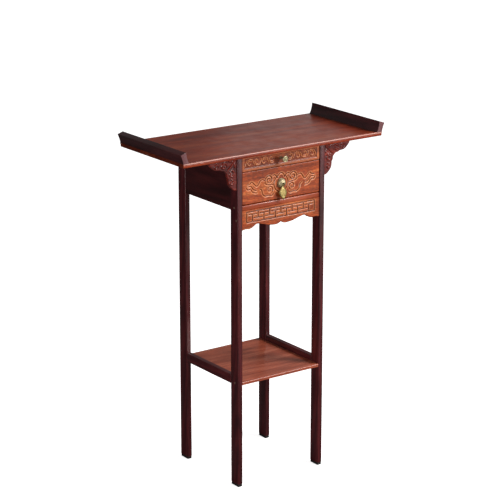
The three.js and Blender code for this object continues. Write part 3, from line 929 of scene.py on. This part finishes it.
def bracketOutline():
    half = smoothLine(bracketEdge, 9)
    return np.vstack([half, half[-2::-1, ::-1]])


def bracketLines():
    half = [volute((48, 21), (12, 3.6), (-200, 190)), volute((75, 20), (9.5, 3.2), (-190, 120)),
            smoothLine([(7, 5), (18, 10), (31, 7)])]
    return [*half, *[line[:, ::-1] for line in half], smoothLine([(9, 9), (22, 24), (36, 36)])]


def makeBracket(settings):
    low, high = rectangleOf("right_front_bracket")
    outer = bracketOutline()
    steps = np.concatenate([[0], np.cumsum(np.hypot(*np.diff(outer, axis=0).T))])
    lines = bracketLines()
    reach = bracketEdge[0][0]

    def place(s, t):
        # the grid opens like a fan from the corner between the leg and the top
        u = t * np.interp(s * steps[-1], steps, outer[:, 0])
        v = t * np.interp(s * steps[-1], steps, outer[:, 1])
        return low[0] + u, high[2] - v

    def relief(x, z):
        u, v = x - low[0], high[2] - z
        near = closeness(u, v, lines, settings["halfWidth"])
        gap = (1 - closeness(u, v, [outer], settings["rim"], 1)) * settings["rim"]
        ridge = ridgeShape(near) * settings["height"] * softStep(gap / 2.5)
        y = low[1] + settings["height"] + 0.1 - ridge + edgeDrop(gap, settings["edge"])
        # the raised scrolls are rubbed and painted paler as highlight, with painted shade at their foot,
        # faded out near the outline
        tone = softStep(near * 1.6) - 0.6 * softStep(1 - np.abs(near))
        return y, tone * softStep(gap / 2)

    return carvedBoard("rightFrontBracket", (steps[-1], reach), settings["cell"], place, relief,
                       high[1] * mm)


rightBracket = makeBracket(bracketCarving)
leftBracket = mirrorPiece(rightBracket, "leftFrontBracket")
finishPiece(rightBracket, "case", "bracket_wood", wood("bracketWood", 0), "right_front_bracket")
finishPiece(leftBracket, "case", "bracket_wood", wood("bracketWood", 0), "left_front_bracket")
print("brackets carved")


# turned fittings: a disc on a face, drawn out ring by ring as (radius, distance out) in mm
def turn(name, rings, middle, face, sides=64):
    clearSelection()
    x, z = middle
    (radius, out), *others = rings
    bpy.ops.mesh.primitive_circle_add(vertices=sides, radius=radius * mm, fill_type="NGON",
                                      location=(x, face - out * mm, z), rotation=(math.pi / 2, 0, 0))
    piece = settle(bpy.context.object, name)
    editAll(piece)
    for nextRadius, nextOut in others:
        bpy.ops.mesh.extrude_region_move(TRANSFORM_OT_translate={"value": (0, (out - nextOut) * mm, 0)})
        if nextRadius > 0:
            share = nextRadius / radius
            centre = (x, face - nextOut * mm, z)
            bpy.ops.transform.resize(value=(share, 1, share), center_override=centre)
            radius = nextRadius
        else:
            bpy.ops.mesh.merge(type="CENTER")
        out = nextOut
    bpy.ops.mesh.select_all(action="SELECT")
    bpy.ops.mesh.normals_make_consistent(inside=False)
    leaveEdit()
    return piece


# knob: a slim neck and a round head, with a dome inside a sunk ring
knobShape = {
    "rings": [(5, 0), (5, 0.9), (4.6, 1.5), (3.9, 2.4), (3.6, 4), (3.4, 8), (3.45, 13), (3.9, 16),
              (5, 18.2), (6.8, 20), (8.6, 21.2), (9.6, 22), (10, 23), (10, 24.2), (9.6, 25), (8.8, 25.5),
              (7.8, 25.6), (6.9, 25.3), (6.3, 24.8), (5.9, 24.5), (5.4, 24.7), (5, 25.3), (4.4, 26),
              (3.4, 26.6), (2, 27.05), (0, 27.2)],
    "sunkRing": 5.9,
    "ringTone": -0.95,
    "headStart": 17,
    "neckTone": -0.6,
}


def makeKnob(settings):
    low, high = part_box("upper_drawer_knob")
    middle = ((low[0] + high[0]) / 2, (low[2] + high[2]) / 2)
    scale = (high[1] - low[1]) / mm / settings["rings"][-1][1]
    rings = [(radius, out * scale) for radius, out in settings["rings"]]
    knob = turn("upperDrawerKnob", rings, middle, high[1])
    places = verticesOf(knob)
    radius = np.hypot(places[:, 0] - middle[0], places[:, 2] - middle[1]) / mm
    out = (high[1] - places[:, 1]) / mm
    head = out > settings["headStart"] * scale
    # the sunk ring is darker, and the neck under the head carries painted shade
    onRing = np.exp(-((radius - settings["sunkRing"]) / 0.6) ** 2) * head
    setTone(knob, settings["ringTone"] * onRing + settings["neckTone"] * ~head)
    smooth(knob, 60)
    return knob


finishPiece(makeKnob(knobShape), "upper_drawer", "pull_brass", paleBrass, "upper_drawer_knob")


# boss of the pull: a ribbed dome on a thin flange, with an arched slot and a pin for the drop
bossShape = {
    "rings": [(15.8, 0), (15.8, 0.8), (15.5, 1.2), (14.9, 1.4), (14.6, 1.5), (14.4, 2.0), (14.3, 3.0),
              (13.9, 4.4), (13.2, 5.9), (12.1, 7.4), (10.7, 8.7), (9.0, 9.8), (7.0, 10.6), (4.8, 11.15),
              (2.4, 11.43), (0, 11.5)],
    "ribs": 20,
    "ribDip": 0.5,
    "ribsFrom": 6,
    "flange": 1.6,
    "flangeInside": 15.2,
    "slotHalfWidth": 6.5,
    "slotFloor": 1.4,
    "slotTop": 966,
    "slotReach": 30,
    "pinRadius": 1.6,
    "paintedShadeTone": -0.9,
}
swing = next(joint for joint in frame["joints"] if joint["name"] == "drop_pull_swing")
pivot = np.array(swing["pos_m"]) / mm


def addBar(name, radius, length, middle, turned=(0, math.pi / 2, 0)):
    # a round bar along X, or turned to another direction
    clearSelection()
    place = [value * mm for value in middle]
    bpy.ops.mesh.primitive_cylinder_add(vertices=40, radius=radius * mm, depth=length * mm,
                                        location=place, rotation=turned)
    return settle(bpy.context.object, name)


def makeBoss(settings):
    low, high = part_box("lower_drawer_pull_boss")
    middle = ((low[0] + high[0]) / 2, (low[2] + high[2]) / 2)
    boss = turn("lowerDrawerPullBoss", settings["rings"], middle, high[1], 120)
    places = verticesOf(boss)
    dx, dz = places[:, 0] - middle[0], places[:, 2] - middle[1]
    radius, angle = np.hypot(dx, dz) / mm, np.arctan2(dz, dx)
    out = (high[1] - places[:, 1]) / mm
    valley = (1 - np.abs(np.sin(angle * settings["ribs"] / 2))) ** 2
    ribbed = softStep((radius - settings["ribsFrom"]) / 3) * softStep((out - settings["flange"]) / 1.5)
    places[:, 1] += ribbed * valley * settings["ribDip"] * mm
    moveVertices(boss, places)
    # darker in the rib valleys and round the foot of the dome
    foot = np.exp(-((out - settings["flange"]) / 0.5) ** 2) * (radius < settings["flangeInside"])
    setTone(boss, -0.6 * ribbed * valley - 0.8 * foot)
    # the slot is open below and ends above in a half round
    half, top, reach = settings["slotHalfWidth"], settings["slotTop"], settings["slotReach"]
    back = high[1] / mm - settings["slotFloor"]
    slot = addBlock("slotTool", (-half * mm, (back - reach) * mm, low[2] - 10 * mm),
                    (half * mm, back * mm, (top - half) * mm))
    arch = addBar("slotArch", half, reach, (0, back - reach / 2, top - half), (math.pi / 2, 0, 0))
    weld(slot, arch)
    weld(boss, slot, "DIFFERENCE")
    weld(boss, addBar("pin", settings["pinRadius"], 2 * half + 3, pivot))
    # the floor of the slot gets painted shade, and the pin is kept plain
    places = verticesOf(boss) / mm
    onPin = np.hypot(places[:, 1] - pivot[1], places[:, 2] - pivot[2]) < settings["pinRadius"] + 0.1
    atBack = places[:, 1] > back - 0.1
    setTone(boss, np.where(onPin, 0, np.where(atBack, settings["paintedShadeTone"], toneOf(boss))))
    smooth(boss, 40)
    return boss


finishPiece(makeBoss(bossShape), "lower_drawer", "pull_brass", paleBrass, "lower_drawer_pull_boss")


# drop: a cushioned teardrop below a knuckle that turns on the pin, as half widths down from the pivot. It
# hangs tilted outwards, because it rests on the boss.
dropShape = {
    "outline": [(5, 3.6), (6, 4), (8, 6), (10, 7.2), (13, 10.3), (17, 12.8), (20, 13.8), (23.5, 14),
                (28, 12.9), (33, 10.4), (37.5, 7.2), (41, 4.2), (44.5, 1.2)],
    "halfThickness": 2.2,
    "sideFullness": 0.75,
    "faceFullness": 0.6,
    "sunkLine": 0.78,
    "sunkTone": -0.7,
    "tilt": 9,
    "neck": {"halfWidth": 4, "halfThickness": 1.8, "length": 9},
    "knuckleRadius": 3.4,
    "knuckleLength": 11.8,
    "bore": 2.2,
    "shaded": 7,
    "paintedShadeTone": -0.9,
}


def makeDrop(settings):
    outline = np.array(settings["outline"])
    clearSelection()
    bpy.ops.mesh.primitive_uv_sphere_add(segments=64, ring_count=48, radius=1)
    drop = settle(bpy.context.object, "lowerDrawerDropPull")
    places = verticesOf(drop)
    share = np.arccos(np.clip(places[:, 2], -1, 1)) / math.pi
    angle = np.arctan2(places[:, 1], places[:, 0])
    down = outline[0, 0] + (outline[-1, 0] - outline[0, 0]) * share
    width = np.interp(down, outline[:, 0], outline[:, 1])
    thick = np.minimum(1, 8 * np.minimum(share, 1 - share)) ** 0.5 * settings["halfThickness"]
    x = np.sign(np.cos(angle)) * np.abs(np.cos(angle)) ** settings["sideFullness"] * width
    y = np.sign(np.sin(angle)) * np.abs(np.sin(angle)) ** settings["faceFullness"] * thick
    moveVertices(drop, np.stack([x, y, -down], 1) * mm)
    # darker along a line round the face, though the surface is not sunk there
    fromLine = (np.abs(x) / width - settings["sunkLine"]) / 0.09
    setTone(drop, settings["sunkTone"] * np.exp(-fromLine ** 2))
    neck = settings["neck"]
    corner = np.array([neck["halfWidth"], neck["halfThickness"], 0]) * mm
    weld(drop, addBlock("neck", -corner - np.array([0, 0, neck["length"] * mm]), corner))
    tilt = math.radians(settings["tilt"])
    places = verticesOf(drop)
    y, z = places[:, 1].copy(), places[:, 2].copy()
    places[:, 1] = y * math.cos(tilt) + z * math.sin(tilt) + pivot[1] * mm
    places[:, 2] = z * math.cos(tilt) - y * math.sin(tilt) + pivot[2] * mm
    moveVertices(drop, places)
    weld(drop, addBar("knuckle", settings["knuckleRadius"], settings["knuckleLength"], pivot))
    weld(drop, addBar("bore", settings["bore"], settings["knuckleLength"] + 4, pivot), "DIFFERENCE")
    # the knuckle and neck, inside the boss's slot, get painted shade
    fromPivot = np.hypot(*(verticesOf(drop)[:, 1:] / mm - pivot[1:]).T)
    setTone(drop, np.where(fromPivot < settings["shaded"], settings["paintedShadeTone"], toneOf(drop)))
    smooth(drop, 50)
    return drop


finishPiece(makeDrop(dropShape), "drop_pull", "pull_brass", agedBrass, "lower_drawer_drop_pull")

# the small screw caps are the frame's own pieces, and only get their finish
for side in leftRight:
    for spot in ("apron", "rail", "shelf"):
        cap = frame["nodes"][f"{side}_{spot}_screw_cap"]
        cap.data.materials.clear()
        cap.data.materials.append(capWood)
print("fittings made")


# studio: pale floor and soft lights
studio = {
    "floorSize": 60,
    "floorTone": 0.96,
    "floorSeenInGloss": 0.12,
    "floorGlow": {"near": 0.85, "far": 1.04, "from": 0.7, "to": 2.6},
    "roomSeen": 1.0,
    "roomLight": 0.12,
    "lamps": [
        # name, place, aim, size, power, colour
        ("key", (2.3, -3.75, 1.85), (0.0, 0.0, 0.75), 1.1, 100, (1.0, 0.96, 0.93)),
        ("top", (2.2, -2.2, 3.4), (0.0, 0.0, 0.9), 1.3, 110, (1.0, 0.98, 0.97)),
        ("fill", (-3.6, -2.6, 1.2), (0.0, 0.0, 0.6), 1.8, 90, (1.0, 0.95, 0.95)),
        ("frontSheen", (1.9, -2.6, 0.1), (0.0, -0.2, 0.95), 0.8, 1.3, (1.0, 0.88, 0.88)),
        ("topSheen", (1.1, 1.2, 1.52), (0.15, 0.0, 1.08), 0.7, 0.4, (1.0, 0.88, 0.84)),
    ],
}


def makeFloor(settings):
    clearSelection()
    bpy.ops.mesh.primitive_plane_add(size=settings["floorSize"])
    floor = bpy.context.object
    floor.name = "floor"
    material, tree, shader = startMaterial("paleFloor")
    rays = tree.nodes.new("ShaderNodeLightPath")
    seen, dim = (settings[key] for key in ("floorTone", "floorSeenInGloss"))
    colour = mixColour(tree, rays.outputs["Is Camera Ray"], (dim, dim, dim), (seen, seen, seen))
    tree.links.new(colour, shader.inputs["Base Color"])
    tree.links.new(colour, shader.inputs["Emission Color"])
    glow = settings["floorGlow"]
    away = addNode(tree, "ShaderNodeVectorMath", {0: objectPlace(tree)}, operation="LENGTH")
    strength = remap(tree, away.outputs["Value"], glow["from"], glow["to"], glow["near"], glow["far"])
    strength = combine(tree, "MULTIPLY", rays.outputs["Is Camera Ray"], strength)
    tree.links.new(strength, shader.inputs["Emission Strength"])
    shader.inputs["Roughness"].default_value = 0.9
    shader.inputs["Specular IOR Level"].default_value = 0.0
    floor.data.materials.append(material)


def makeRoom(settings):
    world = bpy.data.worlds.new("studioRoom")
    world.use_nodes = True
    tree = world.node_tree
    background = tree.nodes["Background"]
    rays = tree.nodes.new("ShaderNodeLightPath")
    cameraRay = rays.outputs["Is Camera Ray"]
    strength = remap(tree, cameraRay, 0.0, 1.0, settings["roomLight"], settings["roomSeen"])
    tree.links.new(strength, background.inputs["Strength"])
    background.inputs["Color"].default_value = (1, 1, 1, 1)
    bpy.context.scene.world = world


def makeLamps(settings):
    for name, place, aim, size, power, colour in settings["lamps"]:
        light = bpy.data.lights.new(name, "AREA")
        light.shape = "DISK"
        light.size = size
        light.energy = power
        light.color = colour
        lamp = bpy.data.objects.new(name, light)
        bpy.context.scene.collection.objects.link(lamp)
        lamp.location = place
        lamp.rotation_euler = facing(place, aim)
        lamp.visible_camera = False


makeFloor(studio)
makeRoom(studio)
makeLamps(studio)
bpy.context.scene.view_settings.view_transform = "Standard"
print("studio ready")
